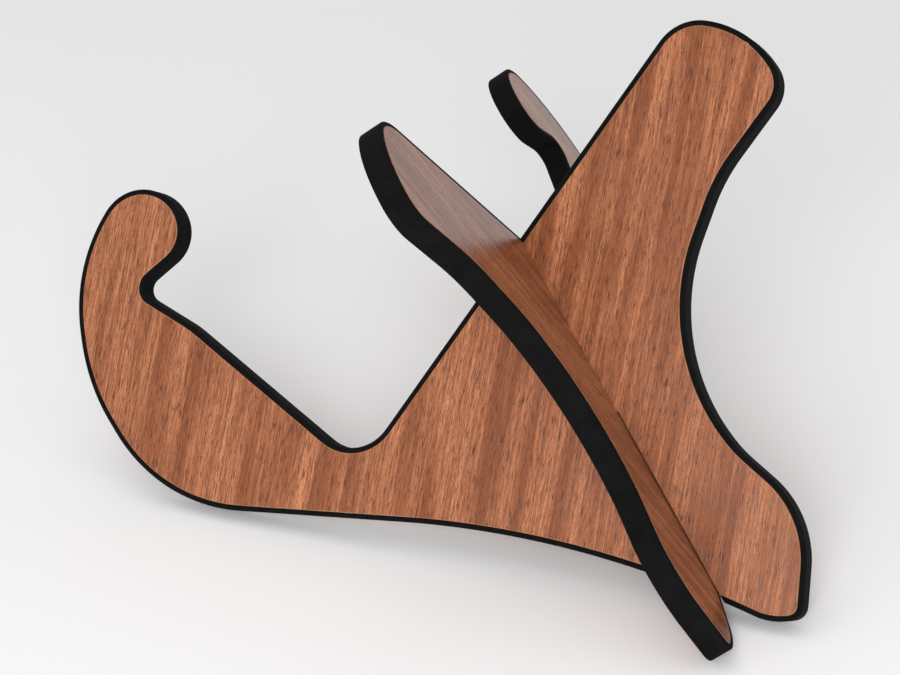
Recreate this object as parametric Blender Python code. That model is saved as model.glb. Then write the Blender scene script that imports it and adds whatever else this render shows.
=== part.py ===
"""Take-apart guitar stand: two boards of one outline that cross at a right angle in halved slots.

Each board is a core panel with a wood-grain face on both sides and a soft black band glued round
its edge.  The left board's slot opens upwards and the right board's slot opens downwards, so the
right board drops onto the left one along the crossing line.  Both boards then stand on a front
foot and a rear foot.  X points to the right as seen from the front, Y to the back and Z upwards.
"""
import math

import bmesh
import bpy
import numpy as np
from mathutils import Matrix, Vector

MM = 0.001

# Panel and its skins
BOARD_THICKNESS = 12.0 * MM
FACE_THICKNESS = 0.8 * MM
BAND_THICKNESS = 2.4 * MM
BAND_CORNER_RADIUS = 1.1 * MM
GLUE_LINE = 0.3 * MM

# Halved joint between the boards
SLOT_LEAN = math.radians(40.5)
SLOT_SIDE_CLEARANCE = 0.5 * MM
SLOT_END_GAP = 0.3 * MM
SLOT_MOUTH_OVERRUN = 30.0 * MM

# Sampling of the round stretches
ARC_STEP = math.radians(9.0)
ARC_CHORD = 9.0 * MM
CORNER_STEPS = 3

# Corners of the board's edge before rounding, in millimetres, anticlockwise: distance behind the
# point where the crossing line meets the foot line, height above the foot line, corner radius.
REAR_FOOT = [(27.0, -1.0, 29.0), (41.0, 3.5, 7.0), (36.5, 50.5, 48.5)]
REAR_WAIST = [(-2.0, 73.0, 62.5), (-46.0, 113.5, 93.5), (-32.0, 191.5, 86.0)]
BACKREST_TIP = [(-8.5, 237.0, 16.5), (-30.0, 260.5, 47.0), (-65.0, 262.0, 22.5)]
CRADLE = [(-180.0, 32.5, 21.5), (-279.0, 84.0, 60.0), (-312.5, 96.0, 6.0)]
HOOK = [(-288.5, 122.5, 18.4), (-302.5, 146.5, 22.5), (-331.0, 144.0, 23.5)]
FRONT_BELLY = [(-349.0, 101.0, 81.0), (-329.5, 46.5, 101.0), (-279.0, -4.5, 86.5)]
BOTTOM_ARCH = [(-70.0, 21.0, 488.5)]
EDGE_CORNERS = REAR_FOOT + REAR_WAIST + BACKREST_TIP + CRADLE + HOOK + FRONT_BELLY + BOTTOM_ARCH

# Colours as seen on the stand
WOOD_COLOUR = (0.36, 0.15, 0.075, 1.0)
CORE_COLOUR = (0.42, 0.29, 0.17, 1.0)
BAND_COLOUR = (0.012, 0.012, 0.013, 1.0)


def clear_scene():
    """Remove what the scene already holds."""
    for item in list(bpy.data.objects):
        bpy.data.objects.remove(item, do_unlink=True)


def make_material(name, colour, roughness):
    """Return a plain surface of one colour."""
    material = bpy.data.materials.new(name)
    material.use_nodes = True
    shader = material.node_tree.nodes["Principled BSDF"]
    shader.inputs["Base Color"].default_value = colour
    shader.inputs["Roughness"].default_value = roughness
    shader.inputs["Metallic"].default_value = 0.0
    material.diffuse_color = colour
    return material


def corner_arcs():
    """Return centre, radius, start angle and swept angle of the arc in every corner."""
    corners = [(Vector((x, y)) * MM, radius * MM) for x, y, radius in EDGE_CORNERS]
    arcs = []
    for index, (corner, radius) in enumerate(corners):
        before = (corners[index - 1][0] - corner).normalized()
        after = (corners[(index + 1) % len(corners)][0] - corner).normalized()
        half_angle = before.angle(after) / 2.0
        centre = corner + (before + after).normalized() * (radius / math.sin(half_angle))
        tangent_length = radius / math.tan(half_angle)
        start = corner + before * tangent_length - centre
        end = corner + after * tangent_length - centre
        sweep = math.atan2(start.x * end.y - start.y * end.x, start.dot(end))
        arcs.append((centre, radius, math.atan2(start.y, start.x), sweep))
    return arcs


def edge_points(inset):
    """Return the board's outline, moved inwards by inset, with the same points for any inset."""
    points = []
    for centre, radius, start, sweep in corner_arcs():
        steps = max(2, math.ceil(abs(sweep) / ARC_STEP), math.ceil(radius * abs(sweep) / ARC_CHORD))
        inset_radius = radius - math.copysign(inset, sweep)
        angles = start + sweep * np.linspace(0.0, 1.0, steps + 1)
        points.append(np.column_stack((centre.x + inset_radius * np.cos(angles),
                                       centre.y + inset_radius * np.sin(angles))))
    return np.vstack(points)


def crossing_span():
    """Return where the crossing line enters and leaves the board, measured from the foot line."""
    outline = edge_points(0.0)
    along = np.array((-math.sin(SLOT_LEAN), math.cos(SLOT_LEAN)))
    across = np.array((math.cos(SLOT_LEAN), math.sin(SLOT_LEAN)))
    side = outline @ across
    height = outline @ along
    next_side = np.roll(side, -1)
    next_height = np.roll(height, -1)
    crossed = np.nonzero((side > 0.0) != (next_side > 0.0))[0]
    share = side[crossed] / (side[crossed] - next_side[crossed])
    levels = height[crossed] + share * (next_height[crossed] - height[crossed])
    return float(levels.min()), float(levels.max())


def add_object(name, mesh, material, parent):
    """Put a mesh into the scene with its material, carried by its board's empty."""
    item = bpy.data.objects.new(name, mesh)
    item.data.materials.append(material)
    item.parent = parent
    bpy.context.scene.collection.objects.link(item)
    return item


def panel_mesh(name, bottom, top):
    """Return a flat sheet that fills the board inside the band, from one height to another."""
    shape = bmesh.new()
    inset = BAND_THICKNESS + GLUE_LINE
    corners = [shape.verts.new((x, y, bottom)) for x, y in edge_points(inset)]
    face = shape.faces.new(corners)
    raised = bmesh.ops.extrude_face_region(shape, geom=[face])["geom"]
    moved = [part for part in raised if isinstance(part, bmesh.types.BMVert)]
    bmesh.ops.translate(shape, verts=moved, vec=(0.0, 0.0, top - bottom))
    bmesh.ops.recalc_face_normals(shape, faces=shape.faces)
    mesh = bpy.data.meshes.new(name)
    shape.to_mesh(mesh)
    shape.free()
    return mesh


def face_mesh(name, side):
    """Return the thin wood face on one side of the core, where side is 1 or -1."""
    outer = side * BOARD_THICKNESS / 2.0
    inner = side * (BOARD_THICKNESS / 2.0 - FACE_THICKNESS)
    return panel_mesh(name, min(inner, outer), max(inner, outer))


def band_profile():
    """Return the band's cross-section as insets from the edge and heights, both outer corners round."""
    flat = BOARD_THICKNESS / 2.0 - BAND_CORNER_RADIUS
    turn = np.linspace(0.0, math.pi / 2.0, CORNER_STEPS + 1)
    inset = BAND_CORNER_RADIUS * (1.0 - np.cos(turn))
    height = flat + BAND_CORNER_RADIUS * np.sin(turn)
    outer = list(zip(inset, height))
    inner = [(BAND_THICKNESS, BOARD_THICKNESS / 2.0), (BAND_THICKNESS, -BOARD_THICKNESS / 2.0)]
    mirrored = [(step, -level) for step, level in reversed(outer)]
    return outer + inner + mirrored


def band_mesh(name):
    """Return the band as its cross-section carried round the whole outline."""
    shape = bmesh.new()
    rings = []
    for inset, level in band_profile():
        rings.append([shape.verts.new((x, y, level)) for x, y in edge_points(inset)])
    for index, ring in enumerate(rings):
        following = rings[(index + 1) % len(rings)]
        for step in range(len(ring)):
            ahead = (step + 1) % len(ring)
            shape.faces.new((ring[step], ring[ahead], following[ahead], following[step]))
    bmesh.ops.recalc_face_normals(shape, faces=shape.faces)
    mesh = bpy.data.meshes.new(name)
    shape.to_mesh(mesh)
    shape.free()
    mesh.shade_smooth()
    mesh.set_sharp_from_angle(angle=math.radians(35.0))
    return mesh


def slot_cutter(name, parent, low, high):
    """Return a hidden block as wide as the slot that runs along the crossing line from low to high."""
    shape = bmesh.new()
    bmesh.ops.create_cube(shape, size=1.0)
    width = BOARD_THICKNESS + 2.0 * SLOT_SIDE_CLEARANCE
    depth = 2.0 * BOARD_THICKNESS
    bmesh.ops.scale(shape, verts=shape.verts, vec=(width, high - low, depth))
    bmesh.ops.translate(shape, verts=shape.verts, vec=(0.0, (high + low) / 2.0, 0.0))
    leaning = Matrix.Rotation(SLOT_LEAN, 3, "Z")
    bmesh.ops.rotate(shape, verts=shape.verts, cent=(0.0, 0.0, 0.0), matrix=leaning)
    mesh = bpy.data.meshes.new(name)
    shape.to_mesh(mesh)
    shape.free()
    cutter = bpy.data.objects.new(name, mesh)
    cutter.parent = parent
    cutter.hide_render = True
    cutter.display_type = "WIRE"
    bpy.context.scene.collection.objects.link(cutter)
    return cutter


def cut_slot(item, cutter):
    """Cut the slot out of one piece of a board."""
    modifier = item.modifiers.new("slot", "BOOLEAN")
    modifier.operation = "DIFFERENCE"
    modifier.solver = "EXACT"
    modifier.object = cutter


def board_matrix(normal_to_left):
    """Return a board's place: its X runs back along the foot line, its Y up the board.

    The crossing line leans forwards, so that both foot lines lie in one level plane.
    """
    lean = math.atan(math.sqrt(2.0) * math.tan(SLOT_LEAN))
    crossing = Vector((0.0, -math.sin(lean), math.cos(lean)))
    rear = Vector((0.0, math.cos(lean), math.sin(lean)))
    side = Vector((-1.0 if normal_to_left else 1.0, 0.0, 0.0))
    rearward = (side + rear).normalized()
    foot_axis = rearward * math.cos(SLOT_LEAN) - crossing * math.sin(SLOT_LEAN)
    height_axis = rearward * math.sin(SLOT_LEAN) + crossing * math.cos(SLOT_LEAN)
    thickness_axis = foot_axis.cross(height_axis)
    return Matrix((foot_axis, height_axis, thickness_axis)).transposed().to_4x4()


def build_board(side, leans_left, slot_opens_up, origin, materials):
    """Build one board: core, two faces and edge band, all cut by the same slot."""
    frame = bpy.data.objects.new(side + "_board_axis", None)
    frame.parent = origin
    frame.matrix_local = board_matrix(leans_left)
    bpy.context.scene.collection.objects.link(frame)

    entry, leave = crossing_span()
    middle = (entry + leave) / 2.0
    half_gap = SLOT_END_GAP / 2.0
    if slot_opens_up:
        low, high = middle - half_gap, leave + SLOT_MOUTH_OVERRUN
    else:
        low, high = entry - SLOT_MOUTH_OVERRUN, middle + half_gap
    cutter = slot_cutter(side + "_slot_cutter", frame, low, high)

    wood, core, band = materials
    upper = upper_side(leans_left)
    half = BOARD_THICKNESS / 2.0 - FACE_THICKNESS - GLUE_LINE
    pieces = [
        add_object(side + "_core_panel", panel_mesh(side + "_core", -half, half), core, frame),
        add_object(side + "_upper_wood_face", face_mesh(side + "_upper", upper), wood, frame),
        add_object(side + "_lower_wood_face", face_mesh(side + "_lower", -upper), wood, frame),
        add_object(side + "_edge_band", band_mesh(side + "_band"), band, frame),
    ]
    for piece in pieces:
        cut_slot(piece, cutter)
    return pieces


def upper_side(leans_left):
    """Return 1 where the board's positive thickness side faces upwards, and otherwise -1."""
    return math.copysign(1.0, board_matrix(leans_left).to_3x3().col[2].z)


def stand_on_origin(origin, pieces):
    """Move the stand so that the centre of its footprint box lies on the origin, feet on the floor."""
    bpy.context.view_layer.update()
    corners = []
    graph = bpy.context.evaluated_depsgraph_get()
    for piece in pieces:
        evaluated = piece.evaluated_get(graph)
        corners.extend(evaluated.matrix_world @ vertex.co for vertex in evaluated.data.vertices)
    places = np.array(corners)
    low = places.min(axis=0)
    high = places.max(axis=0)
    origin.location = (-(low[0] + high[0]) / 2.0, -(low[1] + high[1]) / 2.0, -low[2])
    bpy.context.view_layer.update()


def main():
    """Build both boards and set them on the floor."""
    clear_scene()
    origin = bpy.data.objects.new("stand_origin", None)
    bpy.context.scene.collection.objects.link(origin)
    materials = (make_material("wood_face", WOOD_COLOUR, 0.35),
                 make_material("core_panel", CORE_COLOUR, 0.8),
                 make_material("edge_band", BAND_COLOUR, 0.9))
    pieces = build_board("left", False, True, origin, materials)
    pieces += build_board("right", True, False, origin, materials)
    stand_on_origin(origin, pieces)


main()
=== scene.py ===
"""Look of the take-apart guitar stand: satin wood faces, soft black edge bands and core board.

Both boards share one outline, a rounded polygon given in the board's own plane.  Every new piece is
a sheet or a swept section on that outline, notched by the slot and then set into its board's place.
"""
import math

import bpy
import numpy as np
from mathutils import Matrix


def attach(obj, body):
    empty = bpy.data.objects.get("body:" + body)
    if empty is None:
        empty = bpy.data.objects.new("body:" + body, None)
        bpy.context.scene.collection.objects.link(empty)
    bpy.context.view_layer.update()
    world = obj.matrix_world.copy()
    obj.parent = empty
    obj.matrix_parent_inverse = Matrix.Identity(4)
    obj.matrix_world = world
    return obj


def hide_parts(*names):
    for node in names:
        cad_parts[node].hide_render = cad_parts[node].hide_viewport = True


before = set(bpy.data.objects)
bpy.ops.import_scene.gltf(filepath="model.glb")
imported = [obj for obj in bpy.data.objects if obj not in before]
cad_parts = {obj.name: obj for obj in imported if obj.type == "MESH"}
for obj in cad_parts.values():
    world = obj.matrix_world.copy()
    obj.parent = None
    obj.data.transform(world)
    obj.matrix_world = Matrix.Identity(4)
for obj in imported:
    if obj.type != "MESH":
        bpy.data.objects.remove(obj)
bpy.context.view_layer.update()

MM = 0.001

# Sizes of the board and its slot
HALF_THICKNESS = 6.0 * MM
FACE_DEPTH = 0.8 * MM
FACE_INSET = 2.7 * MM
FACE_CHAMFER = 0.3 * MM
BAND_WIDTH = 2.4 * MM
BAND_ROUND = 1.1 * MM
BAND_LIP = 0.25 * MM
SLOT_HALF_WIDTH = 6.5 * MM
SLOT_MIDDLE = 99.128 * MM
SLOT_HALF_GAP = 0.15 * MM
SLOT_LEAN = math.radians(40.5)

# Directions in a board's plane: along the crossing line, and across it
ALONG = np.array((-math.sin(SLOT_LEAN), math.cos(SLOT_LEAN)))
ACROSS = np.array((math.cos(SLOT_LEAN), math.sin(SLOT_LEAN)))

# Where the crossing line meets both boards' foot lines
FOOT_CROSSING = np.array((0.0, 145.075, 2.83)) * MM

# The finer arcs bulge past the CAD model's chords, so the edge is drawn in by this much
EDGE_SHRINK = 0.15 * MM

# Sampling: longest step on an arc and on a straight, fewest steps in a corner, and the steps of the
# band's rounded corner, its lip and its flank
ARC_CHORD = 1.2 * MM
STRAIGHT_STEP = 2.4 * MM
LEAST_STEPS = 6
ROUND_STEPS = 8
LIP_STEPS = 3
FLANK_STEPS = 4
FLANK_SHARE = 0.7

# Points this near to the slot's wall are left out, so that every inset ends on the wall by itself
SLOT_MARGIN = 2.0 * MM

# Corners of the edge in millimetres, anticlockwise: behind the crossing, above the foot line, radius
EDGE_CORNERS = np.array((
    (27.0, -1.0, 29.0), (41.0, 3.5, 7.0), (36.5, 50.5, 48.5),
    (-2.0, 73.0, 62.5), (-46.0, 113.5, 93.5), (-32.0, 191.5, 86.0),
    (-8.5, 237.0, 16.5), (-30.0, 260.5, 47.0), (-65.0, 262.0, 22.5),
    (-180.0, 32.5, 21.5), (-279.0, 84.0, 60.0), (-312.5, 96.0, 6.0),
    (-288.5, 122.5, 18.4), (-302.5, 146.5, 22.5), (-331.0, 144.0, 23.5),
    (-349.0, 101.0, 81.0), (-329.5, 46.5, 101.0), (-279.0, -4.5, 86.5),
    (-70.0, 21.0, 488.5),
)) * MM

# Colours, in linear light
WOOD_DARK = (0.29, 0.088, 0.030)
WOOD_LIGHT = (0.66, 0.260, 0.120)
WOOD_STREAK = (0.19, 0.048, 0.014)
WOOD_PORE = (0.045, 0.009, 0.003)
WOOD_FLECK = (0.14, 0.038, 0.012)
CUT_LIGHT = (0.50, 0.25, 0.13)
CUT_DARK = (0.34, 0.14, 0.065)
FOAM_DARK = (0.0016, 0.0015, 0.0015)
FOAM_LIGHT = (0.0048, 0.0045, 0.0045)
CORE_DARK = (0.26, 0.17, 0.10)
CORE_LIGHT = (0.45, 0.33, 0.21)
FLOOR_UNSEEN = (0.86, 0.86, 0.86)
FLOOR_SEEN = (0.94, 0.94, 0.94)

# Layers of the grain: name, scales per metre, detail, roughness, and the noise values that count as
# none and as full
GRAIN_LAYERS = (
    ("Flecks", (3200.0, 900.0, 900.0), 2.0, 0.70, 0.36, 0.64),
    ("Pores", (2500.0, 150.0, 300.0), 2.0, 0.65, 0.50, 0.66),
    ("Streaks", (950.0, 24.0, 200.0), 5.0, 0.75, 0.36, 0.64),
    ("Bands", (110.0, 4.5, 50.0), 4.0, 0.60, 0.34, 0.66),
)
GRAIN_DRIFT_SCALE = (16.0, 7.0, 16.0)
GRAIN_DRIFT = 6.0 * MM

# How far each layer takes the wood towards its colour, in the order in which they lie
GRAIN_TINTS = (("Streaks", 0.75, WOOD_STREAK), ("Pores", 0.85, WOOD_PORE), ("Flecks", 0.45, WOOD_FLECK))

# Where each board's figure starts, and how much further the lower face's lies
FIGURE_START = {"left": (0.731, 0.417), "right": (0.0, 0.0)}
LOWER_FIGURE_SHIFT = 0.37

# Finishes
SATIN_ROUGHNESS = (0.16, 0.24)
PORE_DEPTH = 0.04 * MM
PEBBLE_SCALE = 1500.0
PEBBLE_DEPTH = 0.18 * MM
SKIN_SCALE = (900.0, 900.0, 900.0)
TONE_SCALE = (120.0, 120.0, 120.0)
FIBRE_SCALE = (900.0, 900.0, 220.0)
FIBRE_DEPTH = 0.1 * MM

# Setting: the camera's place, turn and lens in millimetres, and the lamps and the floor in metres
CAMERA_PLACE = (0.64846, 0.93906, 0.73028)
CAMERA_TURN = (math.radians(60.2896), math.radians(2.4689), math.radians(145.6587))
LENS = 111.3
SENSOR_WIDTH = 36.0
VIEW_DEPTH = 50.0
LAMP_AIM = (0.0, 0.0, 0.1)
KEY_LAMP = {"place": (1.2, 1.4, 0.8), "size": 1.1, "power": 30.0}
FILL_LAMP = {"place": (0.2, -0.6, 1.7), "size": 1.4, "power": 4.0}
SKY_STRENGTH = 0.6
FLOOR_REACH = 6.0


# Outline of the boards

def unit(vectors):
    """Return each row divided by its length."""
    return vectors / np.linalg.norm(vectors, axis=-1, keepdims=True)


def edge_ring(inset):
    """Return the closed outline moved inwards by inset, as one row of x and y for each point.

    In each corner the arc's centre lies on the bisector, at radius divided by the sine of half the
    corner's angle.  The arc runs between the feet of its centre on both sides, and the straights
    between arcs are divided evenly.  The count of points is the same for every inset.
    """
    corner = EDGE_CORNERS[:, :2]
    radius = EDGE_CORNERS[:, 2:]
    before = unit(np.roll(corner, 1, axis=0) - corner)
    after = unit(np.roll(corner, -1, axis=0) - corner)
    half_angle = np.arccos(np.clip(np.sum(before * after, axis=1, keepdims=True), -1.0, 1.0)) / 2.0
    centre = corner + unit(before + after) * radius / np.sin(half_angle)
    start = corner + before * radius / np.tan(half_angle) - centre
    end = corner + after * radius / np.tan(half_angle) - centre
    sweep = np.arctan2(start[:, 0] * end[:, 1] - start[:, 1] * end[:, 0], np.sum(start * end, axis=1))
    first = np.arctan2(start[:, 1], start[:, 0])
    rows = []
    for index in range(len(corner)):
        ahead = (index + 1) % len(corner)
        steps = max(LEAST_STEPS, math.ceil(radius[index, 0] * abs(sweep[index]) / ARC_CHORD))
        angles = first[index] + sweep[index] * np.linspace(0.0, 1.0, steps + 1)
        shrunk = radius[index, 0] - math.copysign(inset + EDGE_SHRINK, sweep[index])
        arc = centre[index] + shrunk * np.column_stack((np.cos(angles), np.sin(angles)))
        straight = np.linalg.norm(centre[ahead] + start[ahead] - centre[index] - end[index])
        parts = max(1, math.ceil(straight / STRAIGHT_STEP))
        next_shrunk = radius[ahead, 0] - math.copysign(inset + EDGE_SHRINK, sweep[ahead])
        towards = np.array((math.cos(first[ahead]), math.sin(first[ahead])))
        next_point = centre[ahead] + next_shrunk * towards
        share = np.arange(1, parts)[:, None] / parts
        rows += [arc, arc[-1] + share * (next_point - arc[-1])]
    return np.vstack(rows)


def slot_window(opens_up):
    """Return the indices of the ring's points that stay, in order, from one slot wall to the other."""
    ring = edge_ring(0.0)
    side = ring @ ACROSS
    level = ring @ ALONG
    near_mouth = level > SLOT_MIDDLE if opens_up else level < SLOT_MIDDLE
    inside = (np.abs(side) < SLOT_HALF_WIDTH + SLOT_MARGIN) & near_mouth
    leaves = np.nonzero(inside & ~np.roll(inside, -1))[0][0]
    order = (leaves + 1 + np.arange(len(ring))) % len(ring)
    return order[~inside[order]]


def notched_ring(inset, opens_up, slack=0.0):
    """Return the outline from slot wall to slot wall, ending exactly on both walls.

    Each end point lies where the ring's next step crosses the wall's line, at a distance of half the
    slot's width plus slack from the crossing line.
    """
    ring = edge_ring(inset)
    kept = slot_window(opens_up)
    side = ring @ ACROSS
    ends = []
    for index, step in ((kept[0], -1), (kept[-1], 1)):
        wall = math.copysign(SLOT_HALF_WIDTH + slack, side[index])
        while (side[(index + step) % len(ring)] - wall) * math.copysign(1.0, wall) > 0.0:
            index = (index + step) % len(ring)
        ahead = (index + step) % len(ring)
        share = (side[index] - wall) / (side[index] - side[ahead])
        ends.append(ring[index] + share * (ring[ahead] - ring[index]))
    return np.vstack((ends[0], ring[kept], ends[1]))


def board_axes(left):
    """Return the board's back, up and thickness directions as the rows of a matrix.

    The crossing line leans forwards by the angle whose tangent is the root of two times the tangent
    of the slot's lean.  That brings both boards' foot lines into the floor.
    """
    lean = math.atan(math.sqrt(2.0) * math.tan(SLOT_LEAN))
    crossing = np.array((0.0, -math.sin(lean), math.cos(lean)))
    rear = np.array((0.0, math.cos(lean), math.sin(lean)))
    rearward = unit(np.array((1.0 if left else -1.0, 0.0, 0.0)) + rear)
    foot = rearward * math.cos(SLOT_LEAN) - crossing * math.sin(SLOT_LEAN)
    height = rearward * math.sin(SLOT_LEAN) + crossing * math.cos(SLOT_LEAN)
    return np.array((foot, height, np.cross(foot, height)))


# Pieces

def make_object(name, left, points, faces, smooth, materials):
    """Set board-plane points into the board's place and return them as a finished object.

    Each point also keeps its board-plane place in the attribute board_place, for the grain.
    """
    mesh = bpy.data.meshes.new(name)
    mesh.from_pydata((points @ board_axes(left) + FOOT_CROSSING).tolist(), [], faces)
    place = mesh.attributes.new("board_place", "FLOAT_VECTOR", "POINT")
    place.data.foreach_set("vector", points.astype(np.float32).ravel())
    for material in materials:
        mesh.materials.append(material)
    mesh.polygons.foreach_set("use_smooth", smooth)
    mesh.update()
    obj = bpy.data.objects.new(name, mesh)
    bpy.context.scene.collection.objects.link(obj)
    return obj


def sleeve_faces(rows, count):
    """Return the quads between neighbouring rows of count points each, the last row next to the first."""
    row = np.repeat(np.arange(rows), count - 1)
    step = np.tile(np.arange(count - 1), rows)
    below = row * count + step
    above = ((row + 1) % rows) * count + step
    return np.column_stack((below, below + 1, above + 1, above)).tolist()


def face_sheet(side, name, upper, materials):
    """Build one wood face: a flat sheet with a narrow slanting cut all round and a plain back.

    Three closed loops carry it: the back's rim, the foot of the slant and the front's rim.  Each is
    the outline from slot wall to slot wall, closed by the two corners at the bottom of the slot.
    The first material is the front's and the second is that of the rim and the back.  The rim keeps
    its full distance from the edge, so the shrink that every outline has is taken off its inset.
    """
    left = side == "left"
    deeper = -1.0 if left else 1.0
    outward = math.copysign(1.0, board_axes(left)[2, 2]) * (1.0 if upper else -1.0)
    profile = ((0.0, HALF_THICKNESS - FACE_DEPTH), (0.0, HALF_THICKNESS - FACE_CHAMFER),
               (FACE_CHAMFER, HALF_THICKNESS))
    loops = []
    for inset, level in profile:
        ring = notched_ring(FACE_INSET - EDGE_SHRINK + inset, left, inset)
        wall = math.copysign(1.0, ring[-1] @ ACROSS) * (SLOT_HALF_WIDTH + inset)
        bottom = SLOT_MIDDLE + deeper * (SLOT_HALF_GAP + inset)
        corners = np.array((wall * ACROSS + bottom * ALONG, -wall * ACROSS + bottom * ALONG))
        ring = np.vstack((ring, corners))
        loops.append(np.column_stack((ring, np.full(len(ring), outward * level))))
    count = len(loops[0])
    points = np.vstack(loops)
    steps = np.arange(count)
    following = (steps + 1) % count
    walls = [np.column_stack((steps + low, following + low, following + low + count, steps + low + count))
             for low in (0, count)]
    faces = np.vstack(walls).tolist()
    faces.append((steps + 2 * count).tolist())
    faces.append(steps[::-1].tolist())
    slots = np.ones(len(faces), dtype=np.int32)
    slots[-2] = 0
    if outward < 0.0:
        faces = [face[::-1] for face in faces]
    smooth = np.zeros(len(faces), dtype=bool)
    obj = make_object(name, left, points, faces, smooth, materials)
    obj.data.polygons.foreach_set("material_index", slots)
    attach(obj, side + "_board")
    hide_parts(side + ("_upper" if upper else "_lower") + "_wood_face")


def band_section():
    """Return the band's section as insets and levels: the flank, the upper side and the lower side.

    The outer corners are quarter circles: the inset is the radius times one minus the cosine of the
    turn, and the level falls short of the surface by the radius times one minus its sine.  The lips
    next to the wood are smaller quarter circles, and the lower side mirrors the upper one.
    """
    turn = np.linspace(0.0, math.pi / 2.0, ROUND_STEPS + 1)
    lip = np.linspace(0.0, math.pi / 2.0, LIP_STEPS + 1)
    outer = np.column_stack((BAND_ROUND * (1.0 - np.cos(turn)),
                             HALF_THICKNESS - BAND_ROUND * (1.0 - np.sin(turn))))
    inner = np.column_stack((BAND_WIDTH - BAND_LIP * (1.0 - np.sin(lip)),
                             HALF_THICKNESS - BAND_LIP * (1.0 - np.cos(lip))))
    levels = np.linspace(-FLANK_SHARE, FLANK_SHARE, FLANK_STEPS + 1) * (HALF_THICKNESS - BAND_ROUND)
    flank = np.column_stack((np.zeros(len(levels)), levels))
    upper = np.vstack((outer, inner))
    lower = upper[::-1] * np.array((1.0, -1.0))
    return np.vstack((flank, upper, lower))


def edge_band(side, materials):
    """Build one edge band: its section carried round the outline, with flat ends at the slot's mouth."""
    left = side == "left"
    rows = []
    for inset, level in band_section():
        ring = notched_ring(inset, left)
        rows.append(np.column_stack((ring, np.full(len(ring), level))))
    count = len(rows[0])
    points = np.vstack(rows)
    faces = sleeve_faces(len(rows), count)
    first_end = (np.arange(len(rows)) * count).tolist()
    last_end = (np.arange(len(rows)) * count + count - 1).tolist()
    smooth = np.ones(len(faces) + 2, dtype=bool)
    smooth[-2:] = False
    faces += [first_end, last_end[::-1]]
    obj = make_object(side + "_edge_band_foam", left, points, faces, smooth, materials)
    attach(obj, side + "_board")
    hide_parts(side + "_edge_band")


# Effects shared by the materials

def new_group(name, outputs):
    """Return a shader group that turns a vector into the named values, with its end nodes."""
    group = bpy.data.node_groups.new(name, "ShaderNodeTree")
    group.interface.new_socket("Vector", in_out="INPUT", socket_type="NodeSocketVector")
    for label in outputs:
        group.interface.new_socket(label, in_out="OUTPUT", socket_type="NodeSocketFloat")
    entry = group.nodes.new("NodeGroupInput")
    leave = group.nodes.new("NodeGroupOutput")
    entry.location = (-1400, 0)
    leave.location = (900, 0)
    return group, entry, leave


def math_node(tree, operation, first, second, place):
    """Add a Math node fed by sockets or numbers and return its result."""
    node = tree.nodes.new("ShaderNodeMath")
    node.operation = operation
    node.location = place
    for socket, value in zip(node.inputs, (first, second)):
        if isinstance(value, (int, float)):
            socket.default_value = value
        else:
            tree.links.new(value, socket)
    return node.outputs[0]


def stretched_noise(tree, vector, scale, detail, roughness, place):
    """Add noise that is stretched by three scales and return its value."""
    mapping = tree.nodes.new("ShaderNodeMapping")
    mapping.location = (place[0] - 200, place[1])
    mapping.inputs["Scale"].default_value = scale
    noise = tree.nodes.new("ShaderNodeTexNoise")
    noise.location = place
    noise.inputs["Scale"].default_value = 1.0
    noise.inputs["Detail"].default_value = detail
    noise.inputs["Roughness"].default_value = roughness
    tree.links.new(vector, mapping.inputs["Vector"])
    tree.links.new(mapping.outputs["Vector"], noise.inputs["Vector"])
    return noise.outputs["Fac"]


def ramp_value(tree, value, low, high, place):
    """Map a value from low to high onto 0 to 1 with a soft start and end."""
    node = tree.nodes.new("ShaderNodeMapRange")
    node.interpolation_type = "SMOOTHSTEP"
    node.location = place
    node.inputs["From Min"].default_value = low
    node.inputs["From Max"].default_value = high
    tree.links.new(value, node.inputs["Value"])
    return node.outputs["Result"]


def grain_group():
    """Make the wood grain: flecks, pores, streaks and broad bands that run up the board.

    The place's first part is bent sideways by slow noise, so that the figure isn't ruled straight.
    """
    group, entry, leave = new_group("wood_grain", [layer[0] for layer in GRAIN_LAYERS])
    drift = stretched_noise(group, entry.outputs["Vector"], GRAIN_DRIFT_SCALE, 2.0, 0.5, (-1000, -300))
    split = group.nodes.new("ShaderNodeSeparateXYZ")
    split.location = (-1000, 0)
    group.links.new(entry.outputs["Vector"], split.inputs[0])
    offset = math_node(group, "MULTIPLY", drift, GRAIN_DRIFT, (-800, -300))
    join = group.nodes.new("ShaderNodeCombineXYZ")
    join.location = (-400, 0)
    group.links.new(math_node(group, "ADD", split.outputs["X"], offset, (-600, 0)), join.inputs["X"])
    group.links.new(split.outputs["Y"], join.inputs["Y"])
    group.links.new(split.outputs["Z"], join.inputs["Z"])
    for row, (label, scale, detail, roughness, low, high) in enumerate(GRAIN_LAYERS):
        level = 800 - 400 * row
        noise = stretched_noise(group, join.outputs[0], scale, detail, roughness, (0, level))
        group.links.new(ramp_value(group, noise, low, high, (300, level)), leave.inputs[label])
    return group


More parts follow.
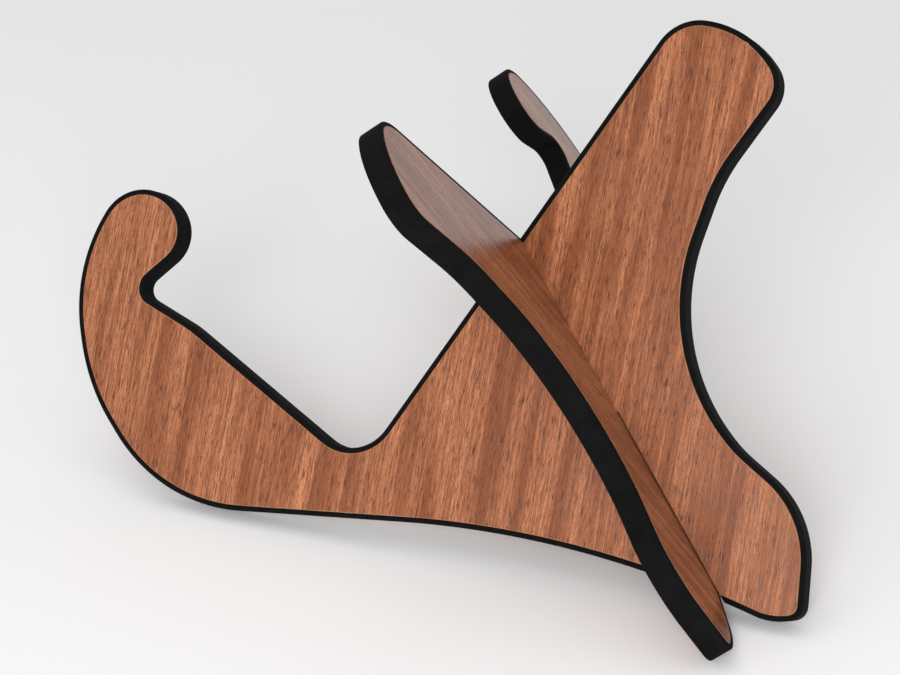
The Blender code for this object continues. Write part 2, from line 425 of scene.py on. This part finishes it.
def pebble_group():
    """Make the foam's skin: small closed pebbles, and a slow change of tone."""
    group, entry, leave = new_group("foam_pebbles", ("Height", "Tone"))
    cells = group.nodes.new("ShaderNodeTexVoronoi")
    cells.feature = "SMOOTH_F1"
    cells.location = (-400, 200)
    cells.inputs["Scale"].default_value = PEBBLE_SCALE
    group.links.new(entry.outputs["Vector"], cells.inputs["Vector"])
    rough = stretched_noise(group, entry.outputs["Vector"], SKIN_SCALE, 3.0, 0.6, (-400, -200))
    domes = math_node(group, "SUBTRACT", 1.0, cells.outputs["Distance"], (-100, 200))
    roughened = math_node(group, "MULTIPLY", rough, 0.8, (-100, -200))
    group.links.new(math_node(group, "ADD", domes, roughened, (200, 100)), leave.inputs["Height"])
    slow = stretched_noise(group, entry.outputs["Vector"], TONE_SCALE, 3.0, 0.6, (-400, -600))
    slow_part = math_node(group, "MULTIPLY", slow, 0.6, (-100, -600))
    rough_part = math_node(group, "MULTIPLY", rough, 0.4, (-100, -800))
    mixed = math_node(group, "ADD", slow_part, rough_part, (200, -600))
    group.links.new(ramp_value(group, mixed, 0.3, 0.7, (400, -600)), leave.inputs["Tone"])
    return group


# Materials

def start_material(name):
    """Return a new material with its tree and its Principled BSDF."""
    material = bpy.data.materials.new(name)
    material.use_nodes = True
    return material, material.node_tree, material.node_tree.nodes["Principled BSDF"]


def mix_colours(tree, factor, first, second, place):
    """Add a colour mix driven by a value; first and second are sockets or plain colours."""
    node = tree.nodes.new("ShaderNodeMix")
    node.data_type = "RGBA"
    node.location = place
    tree.links.new(factor, node.inputs["Factor"])
    for label, value in (("A", first), ("B", second)):
        socket = [item for item in node.inputs if item.name == label and item.type == "RGBA"][0]
        if isinstance(value, tuple):
            socket.default_value = value + (1.0,)
        else:
            tree.links.new(value, socket)
    return [item for item in node.outputs if item.type == "RGBA"][0]


def group_on_board(tree, group, shift, place):
    """Add a group fed by the board-plane place and return its outputs.

    The place is moved by shift, so that no two sheets carry the same figure.
    """
    attribute = tree.nodes.new("ShaderNodeAttribute")
    attribute.attribute_name = "board_place"
    attribute.location = (place[0] - 450, place[1])
    move = tree.nodes.new("ShaderNodeVectorMath")
    move.operation = "ADD"
    move.location = (place[0] - 250, place[1])
    move.inputs[1].default_value = shift
    node = tree.nodes.new("ShaderNodeGroup")
    node.node_tree = group
    node.location = place
    tree.links.new(attribute.outputs["Vector"], move.inputs[0])
    tree.links.new(move.outputs["Vector"], node.inputs["Vector"])
    return node.outputs


def add_bump(tree, shader, height, distance, strength, place):
    """Feed a height into the shader's normal."""
    bump = tree.nodes.new("ShaderNodeBump")
    bump.location = place
    bump.inputs["Distance"].default_value = distance
    bump.inputs["Strength"].default_value = strength
    tree.links.new(height, bump.inputs["Height"])
    tree.links.new(bump.outputs["Normal"], shader.inputs["Normal"])


def wood_material(name, grain, shift):
    """Make the reddish brown grain under its satin finish.

    Each layer of the grain darkens the colour below it by its own share, down to its own colour.
    """
    material, tree, shader = start_material(name)
    layers = group_on_board(tree, grain, shift, (-1250, 0))
    colour = mix_colours(tree, layers["Bands"], WOOD_DARK, WOOD_LIGHT, (-1000, 200))
    for step, (label, share, tint) in enumerate(GRAIN_TINTS):
        left = -750 + 250 * step
        factor = math_node(tree, "MULTIPLY", layers[label], share, (left - 200, -100))
        colour = mix_colours(tree, factor, colour, tint, (left, 200))
    tree.links.new(colour, shader.inputs["Base Color"])
    rough = tree.nodes.new("ShaderNodeMapRange")
    rough.location = (-250, -300)
    rough.inputs["To Min"].default_value = SATIN_ROUGHNESS[0]
    rough.inputs["To Max"].default_value = SATIN_ROUGHNESS[1]
    tree.links.new(layers["Streaks"], rough.inputs["Value"])
    tree.links.new(rough.outputs["Result"], shader.inputs["Roughness"])
    sunk = math_node(tree, "MULTIPLY", layers["Pores"], -1.0, (-500, -600))
    add_bump(tree, shader, sunk, PORE_DEPTH, 0.35, (-250, -600))
    return material


def cut_edge_material(name, grain, shift):
    """Make the face's slanting cut, where the paler sheet under the finish shows."""
    material, tree, shader = start_material(name)
    layers = group_on_board(tree, grain, shift, (-700, 0))
    tree.links.new(mix_colours(tree, layers["Streaks"], CUT_LIGHT, CUT_DARK, (-300, 100)),
                   shader.inputs["Base Color"])
    shader.inputs["Roughness"].default_value = 0.6
    return material


def foam_material(name, pebbles):
    """Make the matt black foam rubber with its fine pebbled skin."""
    material, tree, shader = start_material(name)
    skin = group_on_board(tree, pebbles, (0.0, 0.0, 0.0), (-700, 0))
    tree.links.new(mix_colours(tree, skin["Tone"], FOAM_DARK, FOAM_LIGHT, (-300, 100)),
                   shader.inputs["Base Color"])
    shader.inputs["Roughness"].default_value = 0.9
    shader.inputs["Specular IOR Level"].default_value = 0.12
    add_bump(tree, shader, skin["Height"], PEBBLE_DEPTH, 0.8, (-300, -300))
    return material


def core_material(name):
    """Make the raw pressed board that the slot's walls show: fine fibres on the object's own axes."""
    material, tree, shader = start_material(name)
    place = tree.nodes.new("ShaderNodeTexCoord")
    place.location = (-1100, 0)
    fibres = stretched_noise(tree, place.outputs["Object"], FIBRE_SCALE, 4.0, 0.6, (-700, 0))
    tone = ramp_value(tree, fibres, 0.3, 0.7, (-500, 0))
    tree.links.new(mix_colours(tree, tone, CORE_DARK, CORE_LIGHT, (-300, 100)), shader.inputs["Base Color"])
    shader.inputs["Roughness"].default_value = 0.85
    add_bump(tree, shader, fibres, FIBRE_DEPTH, 0.4, (-300, -300))
    return material


# Floor, light and camera

def add_lamp(name, place, size, power):
    """Add a square lamp that points from place to the stand."""
    data = bpy.data.lights.new(name, "AREA")
    data.shape = "SQUARE"
    data.size = size
    data.energy = power
    direction = unit(np.array(LAMP_AIM) - np.array(place))
    obj = bpy.data.objects.new(name, data)
    obj.location = place
    obj.rotation_euler = (math.acos(-direction[2]), 0.0, math.atan2(-direction[0], direction[1]))
    bpy.context.scene.collection.objects.link(obj)


def make_floor():
    """Add the pale floor, a little paler where the camera looks at it."""
    mesh = bpy.data.meshes.new("floor")
    corners = [(x * FLOOR_REACH, y * FLOOR_REACH, 0.0) for x, y in ((-1, -1), (1, -1), (1, 1), (-1, 1))]
    mesh.from_pydata(corners, [], [(0, 1, 2, 3)])
    material, tree, shader = start_material("floor_paint")
    rays = tree.nodes.new("ShaderNodeLightPath")
    rays.location = (-600, 200)
    tree.links.new(mix_colours(tree, rays.outputs["Is Camera Ray"], FLOOR_UNSEEN, FLOOR_SEEN, (-300, 200)),
                   shader.inputs["Base Color"])
    shader.inputs["Roughness"].default_value = 0.9
    mesh.materials.append(material)
    obj = bpy.data.objects.new("floor", mesh)
    bpy.context.scene.collection.objects.link(obj)


def make_world():
    """Fill the surroundings with soft white light."""
    world = bpy.data.worlds.new("studio")
    world.use_nodes = True
    background = world.node_tree.nodes["Background"]
    background.inputs["Color"].default_value = (1.0, 1.0, 1.0, 1.0)
    background.inputs["Strength"].default_value = SKY_STRENGTH
    bpy.context.scene.world = world


def make_camera():
    """Look at the stand from behind its right board, as in the photo."""
    data = bpy.data.cameras.new("photo_camera")
    data.sensor_width = SENSOR_WIDTH
    data.lens = LENS
    data.clip_end = VIEW_DEPTH
    obj = bpy.data.objects.new("photo_camera", data)
    obj.location = CAMERA_PLACE
    obj.rotation_euler = CAMERA_TURN
    bpy.context.scene.collection.objects.link(obj)
    bpy.context.scene.camera = obj


def dress_board(side, grain, foam, core):
    """Give one board its core material, its band and both its wood faces."""
    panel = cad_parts[side + "_core_panel"].data
    panel.materials.clear()
    panel.materials.append(core)
    edge_band(side, [foam])
    start_x, start_y = FIGURE_START[side]
    for upper, label, extra in ((True, side + "_upper", 0.0), (False, side + "_lower", LOWER_FIGURE_SHIFT)):
        shift = (start_x + extra, start_y, 0.0)
        wood = wood_material(label + "_grain", grain, shift)
        cut = cut_edge_material(label + "_cut", grain, shift)
        face_sheet(side, label + "_face", upper, [wood, cut])


def main():
    """Dress both boards, then light and frame them."""
    grain = grain_group()
    foam = foam_material("edge_band_foam", pebble_group())
    core = core_material("core_board")
    for side in ("left", "right"):
        dress_board(side, grain, foam, core)
    make_floor()
    make_world()
    add_lamp("key", **KEY_LAMP)
    add_lamp("fill", **FILL_LAMP)
    make_camera()
    bpy.context.scene.view_settings.view_transform = "Standard"


main()
